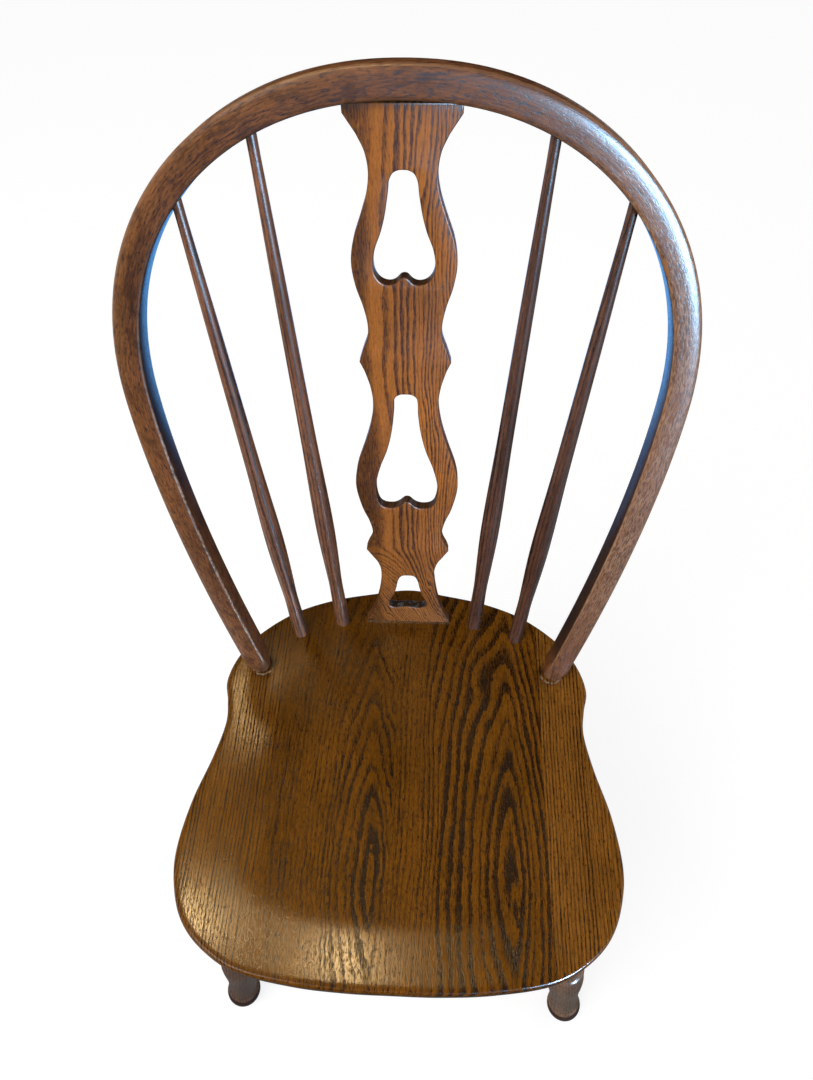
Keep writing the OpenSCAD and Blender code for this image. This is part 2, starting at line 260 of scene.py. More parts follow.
def noise(x, y, z, detail=2.0, rough=0.5, seed=0.0):
    """Soft noise of about 1 mm grain, stretched by dividing the coordinates; mostly between 0.3 and 0.7."""
    n = Val.tree.nodes.new("ShaderNodeTexNoise")
    v = Val.tree.nodes.new("ShaderNodeCombineXYZ")
    for i, a in enumerate((x + seed, y + seed * 0.7, z)):
        Val.tree.links.new(a.src, v.inputs[i])
    Val.tree.links.new(v.outputs[0], n.inputs["Vector"])
    n.inputs["Scale"].default_value = 1.0
    n.inputs["Detail"].default_value = detail
    n.inputs["Roughness"].default_value = rough
    return Val(n.outputs[0])


def dice(x):
    """A random number for each value of x."""
    n = Val.tree.nodes.new("ShaderNodeTexWhiteNoise")
    n.noise_dimensions = "1D"
    Val.tree.links.new(x.src, n.inputs["W"])
    return Val(n.outputs["Value"])


def mix_colour(fac, a, b):
    node = Val.tree.nodes.new("ShaderNodeMix")
    node.data_type = "RGBA"
    for sock, v in ((node.inputs[0], fac), (node.inputs[6], a), (node.inputs[7], b)):
        if isinstance(v, Val):
            Val.tree.links.new(v.src, sock)
        elif isinstance(v, (int, float)):
            sock.default_value = v
        elif isinstance(v, tuple):
            sock.default_value = (*v, 1)
        else:
            Val.tree.links.new(v, sock)
    return node.outputs[2]


def scale_colour(colour, k):
    node = Val.tree.nodes.new("ShaderNodeVectorMath")
    node.operation = "SCALE"
    Val.tree.links.new(colour, node.inputs[0])
    Val.tree.links.new(k.src, node.inputs["Scale"])
    return node.outputs[0]


PORE_ROUGH = 0.1  # open grain is this much rougher than the lacquer over it
BUMP_DEPTH = 0.0006
LEAST_TONE = 0.12


def oak(name, field, light, dark, specular, rough, worn, wear, bump, ragged=0.35, wobble=0.5, pore=1.0,
        mottle=0.22, band=(0.3, 0.62), contrast=1.0, streak=0.9, bead=0.32, dash_l=9, fibre_w=0.8, bold=None,
        shade=None, extra=None):
    """Stained ring-porous oak. field(x, y, z) counts the annual rings; y runs along the grain, in mm.

    light and dark are late and early wood; worn is the colour of rubbed edges, wear how much of it there is.
    ragged and wobble disturb the rings finely and broadly, band is the range of early wood's share of a
    year, contrast its darkness, bead how far pores break it up, dash_l their length. pore, streak and mottle
    are the strengths of loose pores, fibres and clouds, fibre_w a fibre's width. bold(x, y, z) scales the
    early wood, shade(x, y, z) the tone, and extra(x, y, z, edge, colour, rough) adds its own marks last."""
    mat = bpy.data.materials.new(name)
    mat.use_nodes = True
    tree = Val.tree = mat.node_tree
    tree.nodes.clear()
    out = tree.nodes.new("ShaderNodeOutputMaterial")
    bsdf = tree.nodes.new("ShaderNodeBsdfPrincipled")
    tree.links.new(bsdf.outputs[0], out.inputs[0])
    at = tree.nodes.new("ShaderNodeAttribute")
    at.attribute_name = "grain"
    sep = tree.nodes.new("ShaderNodeSeparateXYZ")
    tree.links.new(at.outputs["Vector"], sep.inputs[0])
    x, y, z = (Val(s) for s in sep.outputs)
    edge_at = tree.nodes.new("ShaderNodeAttribute")
    edge_at.attribute_name = "edge"
    edge = Val(edge_at.outputs["Fac"])

    big = noise(x / 70, y / 130, z / 50, 3, 0.55, 3.1)
    wob = noise(x / 24, y / 90, z / 24, 2, 0.5, 7.7)
    rag = noise(x / 2.6, y / 9, z / 2.6, 3, 0.6, 1.3)
    rings = field(x, y, z) + (wob - 0.5) * (2 * wobble) + (rag - 0.5) * ragged
    saw = fract(rings)
    luck = dice(floor(rings) + 0.5)
    # early wood: sharp start, soft end, of a width that changes from year to year
    wide = luck * (band[1] - band[0]) + band[0]
    early = step(0.0, 0.07, saw) * (1.0 - step(wide * 0.45, wide * 1.25, saw))
    early = early * (luck * 0.5 + 0.5) * contrast
    if bold is not None:
        early = early * bold(x, y, z)
    # open pores, short dashes along the grain, dark with stain
    dash = noise(x * 1.05, y / dash_l, z * 1.05, 2, 0.6, 11.9)
    fine = noise(x * 0.75, y / 4.5, z * 0.75, 2, 0.6, 23.1)
    pores = step(0.44, 0.62, dash)
    pits = step(0.52, 0.68, fine)
    fibre = noise(x / fibre_w, y / 26, z / fibre_w, 2, 0.6, 5.5)
    depth = clamp01(early * (pores * bead + (1 - bead)) + (pits * 0.3 + pores * 0.16) * pore)
    colour = mix_colour(depth, light, dark)
    tone = (fibre - 0.5) * streak + (big - 0.5) * (4 * mottle) + 1.0
    if shade is not None:
        tone = tone * shade(x, y, z)
    colour = scale_colour(colour, most(tone, LEAST_TONE))
    scuff = noise(x / 4, y / 14, z / 4, 3, 0.65, 31.0)
    rub = step(0.55, 0.95, edge * 0.62 + scuff * wear)
    colour = mix_colour(rub * 0.8, colour, worn)
    rough_now = depth * PORE_ROUGH + (big - 0.5) * 0.1 + rough
    if extra is not None:
        colour, rough_now = extra(x, y, z, edge, colour, rough_now)
    tree.links.new(colour, bsdf.inputs["Base Color"])
    tree.links.new(rough_now.src, bsdf.inputs["Roughness"])
    bsdf.inputs["Specular IOR Level"].default_value = specular
    height = (fibre - 0.5) * 0.25 - pits * 0.5 - early * pores * 0.7
    bmp = tree.nodes.new("ShaderNodeBump")
    bmp.inputs["Strength"].default_value = bump
    bmp.inputs["Distance"].default_value = BUMP_DEPTH
    tree.links.new(height.src, bmp.inputs["Height"])
    tree.links.new(bmp.outputs[0], bsdf.inputs["Normal"])
    return mat


def give(ob, mat):
    ob.data.materials.clear()
    ob.data.materials.append(mat)


# ---------------------------------------------------------------- seat
# the right half of the outline from back to front: share of the half width, share of the depth
SEAT_KEY = [(0, 0), (0.2, 0.016), (0.41, 0.04), (0.61, 0.083), (0.78, 0.152), (0.875, 0.222), (0.915, 0.295),
            (0.893, 0.355), (0.882, 0.415), (0.915, 0.505), (0.972, 0.612), (1, 0.72), (0.983, 0.796),
            (0.925, 0.87), (0.82, 0.926), (0.66, 0.969), (0.42, 0.991), (0.2, 0.999), (0, 1)]


def seat_outline(n):
    half = [Vector((u * SEAT_W / 2, BOW_BACK - v * SEAT_D + CY)) for u, v in SEAT_KEY]
    left = [Vector((-p.x, p.y)) for p in half]
    loop = left + half[-2:0:-1]  # counter-clockwise seen from above
    return smooth_line(loop, n, closed=True)


RIM = 0.78  # the dish begins at this share of the way from the middle to the edge


def hollow(k):
    """How far the dish sinks at share k of the way from the middle to the edge."""
    t = min(1.0, max(0.0, (RIM - k) / RIM))
    return -DISH * (1 - (1 - t) ** 2.2) * t / (t + 0.12) * 1.12


# the seat's edge from the underside up: inset from the outline, height over the top
EDGE_KEY = [(19, -34), (15.6, -31.8), (12, -29), (8.6, -26.4), (6, -24), (3.6, -21), (1.8, -18), (0.9, -15.5),
            (0.25, -13), (0, -10.5), (0, -8), (0, -5), (0.15, -3.2), (0.55, -1.9), (1.25, -0.95),
            (2.3, -0.35), (3.8, -0.05), (7.5, 0)]
TOP_RINGS = 38


def build_seat():
    loop = seat_outline(8)
    n = len(loop)
    inward = []
    for i in range(n):
        d = loop[(i + 1) % n] - loop[i - 1]
        inward.append(Vector((-d.y, d.x)).normalized())
    mid = Vector((0, BOW_BACK - 0.52 * SEAT_D + CY))
    bm = bmesh.new()
    _, edge = layers(bm)
    rings = []
    for inset, z in EDGE_KEY:
        # the side below the top's rounding is marked -1, where it gets painted shade
        worn = -1.0 if z < -4 else 0.6 if z < -0.3 else 0.0
        ring = []
        for p, q in zip(loop, inward):
            v = bm.verts.new((*(p + q * inset), SEAT_H + z))
            v[edge] = worn
            ring.append(v)
        rings.append(ring)
    # the top runs in to the middle, sinking into the hollow
    for j in range(1, TOP_RINGS):
        k = 1 - j / TOP_RINGS
        ring = []
        for p, q in zip(loop, inward):
            c = mid + (p + q * EDGE_KEY[-1][0] - mid) * k
            ring.append(bm.verts.new((*c, SEAT_H + hollow(k))))
        rings.append(ring)
    tip = bm.verts.new((*mid, SEAT_H + hollow(0)))
    skin_rings(bm, rings, closed_ends=False)
    for i in range(n):
        bm.faces.new((rings[-1][i], rings[-1][(i + 1) % n], tip))
    bm.faces.new(list(reversed(rings[0])))
    return bm


def build_boards():
    """The seat sawn into its four boards, which meet face to face."""
    whole = build_seat()
    out = []
    for i in range(4):
        bm = whole.copy()
        for x, side in ((JOINTS[i], -1), (JOINTS[i + 1], 1)):
            if abs(x) < FAR:
                bmesh.ops.bisect_plane(bm, geom=bm.verts[:] + bm.edges[:] + bm.faces[:], dist=1e-5,
                                       plane_co=(x, 0, 0), plane_no=(side, 0, 0), clear_outer=True)
                close_cut(bm)
        grain = bm.verts.layers.float_vector["grain"]
        for v in bm.verts:
            v[grain] = Vector((v.co.x, v.co.y - CY, v.co.z - SEAT_H))
        out.append(new_piece(f"oak_seat_board_{i + 1}", bm, f"seat_board_{i + 1}"))
    whole.free()
    return out


# ---------------------------------------------------------------- bow
BOW_A = BOW_OVER / 2 - BOW_W / 2  # half width of its middle line
BOW_C = BOW_H - BOW_OVER / 2 + 1  # where the legs end and the arch begins
BOW_B = BOW_H - BOW_W / 2 - BOW_C  # rise of the arch
BOW_IN = BOW_OVER / 2 - SEAT_W / 2 + BOW_SIDE  # how far each leg draws in
ARCH_POWER, LEG_SWEEP = 2.15, 1.55  # a little squarer than an ellipse; the legs curve in more and more
BOW_START = 3
BOW_STEPS = 270


def bow_point(u, n, v):
    """From the bow's own plane (u across, n back from its front face, v up the slope)."""
    s, c = math.sin(BOW_RAKE), math.cos(BOW_RAKE)
    return Vector((u, CY + v * s + n * c, SEAT_H + v * c - n * s))


def bow_leg(v):
    return Vector((BOW_A - BOW_IN * ((BOW_C - v) / BOW_C) ** LEG_SWEEP, v))


def bow_line():
    """The bow's middle line in its own plane, in even steps from right foot to left, and its length."""
    half = [bow_leg(v) for v in [BOW_START + (BOW_C - BOW_START) * i / 60 for i in range(60)]]
    p = 2 / ARCH_POWER
    for i in range(90):
        t = math.radians(i)
        half.append(Vector((BOW_A * math.cos(t) ** p, BOW_C + BOW_B * math.sin(t) ** p)))
    pts = half + [Vector((0, BOW_C + BOW_B))] + [Vector((-p.x, p.y)) for p in reversed(half)]
    length = [0.0]
    for a, b in zip(pts, pts[1:]):
        length.append(length[-1] + (b - a).length)
    out, j = [], 0
    for i in range(BOW_STEPS + 1):
        s = length[-1] * i / BOW_STEPS
        while j < len(pts) - 2 and length[j + 1] < s:
            j += 1
        t = (s - length[j]) / max(1e-9, length[j + 1] - length[j])
        out.append(pts[j].lerp(pts[j + 1], t))
    return out, length[-1]


CROWN_OUT, CROWN_IN = 1.5, 0.3


def bow_section(half_w, half_t, r, crown):
    """Rounded box with its front face crowned and worn back towards the outer edge: (x, y, edge wear)."""

    def fall(x):
        return crown * (CROWN_OUT if x > 0 else CROWN_IN) * (x / half_w) ** 2

    out = []
    for q in range(4):
        for j in range(6):
            a = math.radians(q * 90 + 7.5 + j * 15)
            x = (1 if q in (0, 3) else -1) * (half_w - r) + r * math.cos(a)
            y = (1 if q < 2 else -1) * (half_t - r) + r * math.sin(a)
            out.append((x, y, 1.0 if 1 <= j <= 4 else 0.35))
        if q == 2:
            flat = half_w - r
            out += [(flat * t, -half_t, 0.2) for t in (-0.75, -0.5, -0.25, 0, 0.25, 0.5, 0.75)]
    return [(x, y + (fall(x) if y < 0 else 0) * min(1.0, -y / half_t), worn) for x, y, worn in out]


BOW_PATH, BOW_LINE = bow_line()
ROUND_TO, SQUARE_FROM = 3, 16  # distances from its ends: round up to the first, square from the second


def build_bow():
    bm = bmesh.new()
    grain, edge = layers(bm)
    rings = []
    n = len(BOW_PATH)
    for i, c in enumerate(BOW_PATH):
        d = (BOW_PATH[min(n - 1, i + 1)] - BOW_PATH[max(0, i - 1)]).normalized()
        s = BOW_LINE * i / (n - 1)
        near = min(s, BOW_LINE - s)  # distance from the end in the seat
        k = ease(ROUND_TO, SQUARE_FROM, near)
        crisp = ease(ROUND_TO + 1, SQUARE_FROM + 2, near)
        half_w = BOW_TENON + 0.9 + (BOW_W / 2 - BOW_TENON - 0.9) * k
        half_t = BOW_TENON + 1.2 + (BOW_T / 2 - BOW_TENON - 1.2) * k
        r = (BOW_TENON - 0.6) * (1 - crisp) + BOW_EDGE * crisp
        if near < 2.6:
            half_w, half_t, r = BOW_TENON, BOW_TENON, BOW_TENON - 0.2
        ring = []
        for x, y, worn in bow_section(half_w, half_t, r, k):
            u, v = c.x + d.y * x, c.y - d.x * x
            vert = bm.verts.new(bow_point(u, BOW_T / 2 + y, v))
            vert[grain] = Vector((x, s, y))
            vert[edge] = worn
            ring.append(vert)
        rings.append(ring)
    skin_rings(bm, rings)
    # the ends are trimmed just below the seat's surface
    bmesh.ops.bisect_plane(bm, geom=bm.verts[:] + bm.edges[:] + bm.faces[:], dist=1e-5,
                           plane_co=(0, 0, SEAT_H - 3), plane_no=(0, 0, -1), clear_outer=True)
    close_cut(bm)
    return new_piece("oak_bow", bm, "bow")


# ---------------------------------------------------------------- splat
SPLAT_Y = BOW_BACK - 44  # its front face at the seat
SPLAT_TOP = bow_point(0, (BOW_T - SPLAT_T) / 2, BOW_H - BOW_W + 6)
SPLAT_RAKE = math.atan2(SPLAT_TOP.y - SPLAT_Y - CY, SPLAT_TOP.z - SEAT_H)
SPLAT_L = math.hypot(SPLAT_TOP.y - SPLAT_Y - CY, SPLAT_TOP.z - SEAT_H)
HS = SPLAT_L / 556  # the outlines below are drawn for a splat 556 long: (half width, height)
SPLAT_EASE = 1.3  # radius along its edges
EDGE_LOW = [(46.6, 2), (43, 8), (36, 28), (31, 52), (28.5, 80), (31, 96), (37.5, 108)]
EDGE_KNEE = [(42.8, 117), (40.5, 124), (36.5, 134), (35.5, 145), (38.5, 160), (44, 176), (48.5, 198),
             (49, 214), (46, 232), (38.5, 256), (32, 280), (29, 302), (30.5, 320), (35, 337)]
EDGE_MID = [(38.8, 346), (35, 358), (31, 370), (30.5, 382), (33.5, 398), (38.5, 415), (41, 434), (38.5, 452),
            (32, 471), (27, 487), (25, 502), (27, 516), (32.5, 528)]
CUT_TOP = [(0.5, 423), (3, 422), (7, 418), (12, 416.5), (18, 418.5), (22.5, 424.5), (24, 434), (22, 446),
           (17.5, 458), (14, 471), (11.5, 486), (10.5, 495), (8, 501), (4, 503.5), (0.5, 504)]
CUT_MID = [(0.5, 186), (3, 185), (8, 180), (14, 177.5), (22, 178.5), (27, 184), (29.5, 197), (29, 212),
           (24.5, 231), (18, 250), (13.5, 270), (11, 290), (10.5, 304), (9, 310), (5, 313), (0.5, 313.5)]
CUT_LOW = [(0.5, 25.6), (4, 25.2), (9, 24), (15, 24), (19.5, 26), (21, 31), (19, 38), (15.5, 46), (13, 56),
           (11, 67), (8.5, 74), (5, 77), (0.5, 77.5)]


def both_sides(half):
    """A closed outline from its right half, given from the bottom up."""
    right = [Vector((p[0], p[1] * HS)) for p in half]
    left = [Vector((-p.x, p.y)) for p in reversed(right)]
    return right + left


def build_splat():
    right = smooth_line(EDGE_LOW, 6)[:-1] + [Vector(EDGE_LOW[-1])]
    right += smooth_line(EDGE_KNEE, 6) + smooth_line(EDGE_MID, 6) + [Vector((41.2, 541)), Vector((41.4, 548))]
    loops = [both_sides([(47.2, -1.5)] + [tuple(p) for p in right])]
    for cut in (CUT_TOP, CUT_MID, CUT_LOW):
        loops.append(both_sides([tuple(p) for p in smooth_line(cut, 5)]))
    curve = bpy.data.curves.new("splat_outline", "CURVE")
    curve.dimensions = "2D"
    curve.fill_mode = "BOTH"
    curve.extrude = SPLAT_T / 2 - SPLAT_EASE
    curve.bevel_depth = SPLAT_EASE
    curve.bevel_resolution = 2
    curve.offset = -SPLAT_EASE
    for loop in loops:
        sp = curve.splines.new("POLY")
        sp.points.add(len(loop) - 1)
        for p, q in zip(sp.points, loop):
            p.co = (q.x, q.y, 0, 1)
        sp.use_cyclic_u = True
    ob = bpy.data.objects.new("splat_outline", curve)
    scene.collection.objects.link(ob)
    bpy.context.view_layer.update()
    mesh = bpy.data.meshes.new_from_object(ob.evaluated_get(bpy.context.evaluated_depsgraph_get()))
    bm = bmesh.new()
    bm.from_mesh(mesh)
    bpy.data.objects.remove(ob)
    bpy.data.meshes.remove(mesh)
    bmesh.ops.remove_doubles(bm, verts=bm.verts, dist=0.002)
    grain, edge = layers(bm)
    s, c = math.sin(SPLAT_RAKE), math.cos(SPLAT_RAKE)
    for v in bm.verts:
        x, h, t = v.co  # across, up the splat, out of its face
        v[grain] = Vector((x, h, t))
        v[edge] = 0.0 if abs(t) > SPLAT_T / 2 - 0.05 else 1.0
        depth = SPLAT_T / 2 - t
        v.co = Vector((x, SPLAT_Y + CY + h * s + depth * c, SEAT_H + h * c - depth * s))
    return new_piece("oak_splat", bm, "splat", 50)


# ---------------------------------------------------------------- turned pieces
PLAIN_TURNED = 0.3  # edge value of plain turned wood


def turned(name, a, b, shape, node, segments, seed, cut_floor=False, worn=None):
    """Lathe work: shape is [(radius, height)] along the line from a to b. seed moves it to its own wood."""
    a, b = Vector(a), Vector(b)
    axis = (b - a).normalized()
    side = axis.cross(Vector((0, 1, 0))).normalized()
    front = axis.cross(side)
    bm = bmesh.new()
    grain, edge = layers(bm)
    rings = []
    for r, h in shape:
        ring = []
        for i in range(segments):
            t = 2 * math.pi * i / segments
            v = bm.verts.new(a + axis * h + side * (r * math.cos(t)) + front * (r * math.sin(t)))
            v[grain] = Vector((r * math.cos(t) + seed, h + seed * 9, r * math.sin(t)))
            v[edge] = worn(h) if worn else PLAIN_TURNED
            ring.append(v)
        rings.append(ring)
    skin_rings(bm, rings)
    if cut_floor:
        bmesh.ops.bisect_plane(bm, geom=bm.verts[:] + bm.edges[:] + bm.faces[:], dist=1e-5,
                               plane_co=(0, 0, 0), plane_no=(0, 0, -1), clear_outer=True)
        close_cut(bm)
    return new_piece(name, bm, node, 42)


def bow_under(u):
    """Height of the arch's under side at u from the middle."""
    a, b = BOW_A - BOW_W / 2, BOW_B - BOW_W / 2
    return BOW_C + b * (1 - (u / a) ** ARCH_POWER) ** (1 / ARCH_POWER)


# radius as a share of the swelling, height as a share of the visible length
SPIN_KEY = [(0.83, 0.03), (0.82, 0.07), (0.78, 0.125), (0.87, 0.18), (0.96, 0.235), (1, 0.285), (0.97, 0.345),
            (0.89, 0.41), (0.79, 0.49), (0.72, 0.59), (0.655, 0.7), (0.59, 0.8), (0.5, 0.9), (0.44, 0.97)]


def build_spindles():
    out = []
    places = (("inner", 75.5, BOW_BACK - 46, 105, (3, 17)),
              ("outer", 122, BOW_BACK - 62, BOW_OVER / 2 - 71, (29, 41)))
    for kind, x0, y0, x1, seeds in places:
        for side, m, seed in (("left", -1, seeds[0]), ("right", 1, seeds[1])):
            low = Vector((m * x0, y0 + CY, SEAT_H))
            top = bow_point(m * x1, BOW_T / 2, bow_under(x1))
            length = (top - low).length
            shape = [(0.83 * SPINDLE_R, -6)]
            shape += [(p.x, p.y) for p in smooth_line([(r * SPINDLE_R, h * length) for r, h in SPIN_KEY], 5)]
            shape += [(SPIN_KEY[-1][0] * SPINDLE_R, length + 3)]
            node = f"spindle_{kind}_{side}"
            out.append(turned(f"oak_{node}", low, top, shape, node, 28, seed))
    return out


# the foot's ball, ring and neck: radius as a share of the ball's, height
FOOT_KEY = [(0.9, 6), (0.985, 12), (1, 16.5), (0.975, 21), (0.91, 24.5), (0.88, 26.2), (0.91, 28),
            (0.935, 30.5), (0.91, 33), (0.84, 36), (0.815, 45), (0.815, 58), (0.84, 80)]
BALL_TOP, RING_TOP = 25, 33


def leg_shape(length):
    """A leg's whole turning: the foot, two swellings with their rings, and the tenon in the seat."""
    foot = smooth_line([(r * BALL_R, h) for r, h in [(0.5, -8)] + FOOT_KEY], 5)
    upper = [(0.81, 105), (0.92, 135), (0.97, 160), (0.9, 178), (0.83, 183), (0.95, 188), (0.95, 194),
             (0.8, 199), (0.74, 208), (0.8, min(240, length / 2 + 44)), (0.91, length - 120),
             (0.9, length - 95), (0.76, length - 72), (0.66, length - 66), (0.76, length - 61),
             (0.76, length - 55), (0.62, length - 50)]
    top = smooth_line([(r * LEG_R, h) for r, h in upper], 5)
    shape = [(p.x, p.y) for p in foot + top]
    return shape + [(LEG_TENON + 1.2, length - 22), (LEG_TENON, length - 8), (LEG_TENON, length + 3)]


# the legs' lines, B at the seat and A on the floor
FRONT_B = Vector((SEAT_W / 2 - 51, FRONT_Y + 88 + CY, SEAT_H - SEAT_T))
FRONT_A = Vector((FRONT_B.x + 51, FRONT_B.y - 36, 0))
REAR_B = Vector((SEAT_W / 2 - 102, BOW_BACK - 108 + CY, SEAT_H - SEAT_T))
REAR_A = Vector((REAR_B.x + 82, REAR_B.y + 106, 0))


def flip(p, m):
    """The point itself for m = 1, its mirror image for -1."""
    return Vector((p.x * m, p.y, p.z))


def at_height(a, b, z):
    """The point at height z on the line from a on the floor to b."""
    return a + (b - a) * (z / (b.z - a.z))


def leg_wear(h):
    return -1.0 if h < BALL_TOP else 0.8 if h < RING_TOP else PLAIN_TURNED


def stretcher_shape(length, tip, bare, r0):
    """A stretcher between two lines: its tenons of radius r0 start at tip and show from bare."""
    half = smooth_line([(r0, bare + 3), (r0 + 1.2, bare + 16), (0.78 * STRETCH_R, length * 0.27),
                        (0.95 * STRETCH_R, length * 0.4), (STRETCH_R, length * 0.5)], 6)
    shape = [(r0, tip)] + [(p.x, p.y) for p in half]
    return shape + [(p.x, length - p.y) for p in reversed(half[:-1])] + [(r0, length - tip)]


def build_base():
    out = []
    side_a, side_b = at_height(FRONT_A, FRONT_B, STRETCH_H), at_height(REAR_A, REAR_B, STRETCH_H + 12)
    mid = (side_a + side_b) / 2
    for k, (place, a, b) in enumerate((("front", FRONT_A, FRONT_B), ("rear", REAR_A, REAR_B))):
        shape = leg_shape((b - a).length)
        for side, m in (("left", -1), ("right", 1)):
            node = f"leg_{place}_{side}"
            out.append(turned(f"oak_{node}", flip(a, m), flip(b, m), shape, node, 48, 5 + 13 * k + 7 * m,
                              cut_floor=True, worn=leg_wear))
    for side, m in (("left", -1), ("right", 1)):
        shape = stretcher_shape((side_b - side_a).length, 14, 22, 7)
        node = f"stretcher_{side}"
        out.append(turned(f"oak_{node}", flip(side_a, m), flip(side_b, m), shape, node, 36, 60 + m))
    cross = flip(mid, -1)
    shape = stretcher_shape((cross - mid).length, 8, 10, 6)
    out.append(turned("oak_stretcher_cross", mid, cross, shape, "stretcher_cross", 36, 80))
    return out


# ---------------------------------------------------------------- grain of each piece
# Each counts annual rings over wood coordinates in mm. On the seat x and y are the chair's own before it is
# centred, on the splat y runs up it, on the bow y runs from the right foot over the top to the left one, and
# on turned pieces y runs along the axis.
def straight(pitch, lean):
    return lambda x, y, z: x / pitch + y * lean + z * 0.16


def arch(dx, h, p=1.4):
    """Distance in a cathedral's own stretched frame: rings of this make pointed arches."""
    return power(power(size_of(dx), p) + power(h, p), 1 / p)


def grain_board_2(x, y, z):
    """Ragged pointed arches round x = -29, their heart near the front; finer lines at the back and left."""
    stir = noise(x / 15, y / 34, z / 15, 2, 0.5, 51.0) - 0.5
    dx = x + 29 + (y + 120) * 0.04 + stir * 8
    dx = dx * (0.86 + 0.12 * tanh(dx / 14))
    dy = (y + 225) * 0.14 + stir * 4
    r = arch(dx, sqrt(dy * dy + 6) + 2)
    far = most(size_of(dx) - 26, 0.0)
    return r / 5.4 + far * 0.12 + z * 0.12


def bold_board_2(x, y, z):
    heart = blob(x, y, -32, -175, 34, 110)
    patch = noise(x / 22, y / 45, z / 22, 2, 0.5, 53.0)
    return heart * 0.75 + step(0.4, 0.65, patch) * 0.4 + 0.3


def grain_board_3(x, y, z):
    """A pointed cathedral round x = 109 with a closed golden loop; bold lines left of it, then fine ones."""
    hook = blob(x, y, 86, -2, 20, 30) * (y + 2) * 0.5
    stir = noise(x / 18, y / 60, z / 18, 2, 0.5, 61.0) - 0.5
    dx = x - 109 + hook + 7 * sin(y / 62 + 0.9) * step(104, 60, x) + stir * 5
    dx = dx * (0.78 + 0.16 * tanh(dx / 10))
    dy = (y + 208) * 0.13
    r = arch(dx, sqrt(dy * dy + 7) + 3)
    far = most(-dx - 46, 0.0)
    core = blob(x, y, 110, -222, 3.5, 22) * 0.8
    return (r - 5.6) / 5.6 + 0.2 + core + far * 0.16 + z * 0.12


def bold_board_3(x, y, z):
    patch = noise(x / 22, y / 60, z / 22, 2, 0.5, 63.0)
    return step(18, 40, x) * 0.55 + step(0.35, 0.65, patch) * 0.3 + 0.35 - step(-10, 60, y) * 0.25


def grain_splat(x, y, z):
    """Broad bands on the left, fine lines on the right; at the foot all lines lean down to the right."""
    xs = x + 2.2 * sin(y / 58 + 1) + 1.3 * sin(y / 23) + (noise(x / 9, y / 60, z / 9, 1, 0.5, 71.0) - 0.5) * 7
    xs = most(xs, -38.0)
    foot = most(125 - y, 0.0)
    stir = noise(x / 14, y / 22, z / 14, 2, 0.5, 75.0) - 0.5
    lean = foot * foot / (foot + 30) * 0.15
    low = step(120, 50, y)
    return xs * (low * 0.12 + 0.19) + xs * xs * (1.0 - low) * 0.0028 - lean + stir * low * 2.6 + z * 0.06


def grain_bow(x, y, z):
    stir = noise(x / 9, y / 30, z / 9, 2, 0.5, 81.0) - 0.5
    return x / 4.2 + z / 9 + 3.4 * sin(y / 120 + 0.6) + 1.4 * sin(y / 37) + stir * 3.5


def grain_turned(x, y, z):
    dx, dz = x + 26, z - 14
    return sqrt(dx * dx + dz * dz) / 3.6 + 0.8 * sin(y / 130) + y * 0.003


# ---------------------------------------------------------------- pieces
boards = build_boards()
bow = build_bow()
splat = build_splat()
spindles = build_spindles()
base = build_base()

# ---------------------------------------------------------------- finish of the seat
GOLD, PALE_GOLD, UMBER = (0.195, 0.068, 0.003), (0.26, 0.1, 0.012), (0.018, 0.0055, 0.0006)
TENON_X, TENON_Y = 159, 12.4  # where the bow's round ends stand in the seat
GLUE_IN, GLUE_OUT = 9.5, 12.6  # ring of old glue round them
SEAM_X = -136


def seat_tone_and_painted_shade(x, y, z):
    """Random clouds in the stain, a darker strip beside the left glue line, and painted shade over the hollow
    and towards the back left, where the seat reflects less light.
    """
    cloud = noise(x / 40, y / 55, z / 40, 3, 0.55, 97.0) - 0.5
    # painted shade: the hollow and the back left are darkened where the seat reflects less light
    dark = blob(x, y, -50, 30, 90, 95) * 0.26 + blob(x, y, 5, -70, 150, 150) * 0.12
    dark = dark + blob(x, y, -20, 95, 120, 50) * 0.19 + cloud * 0.5 + 0.03
    seam = step(SEAM_X, SEAM_X + 4, x) * step(-80, -110, x) * 0.17
    return 1.1 - dark - seam


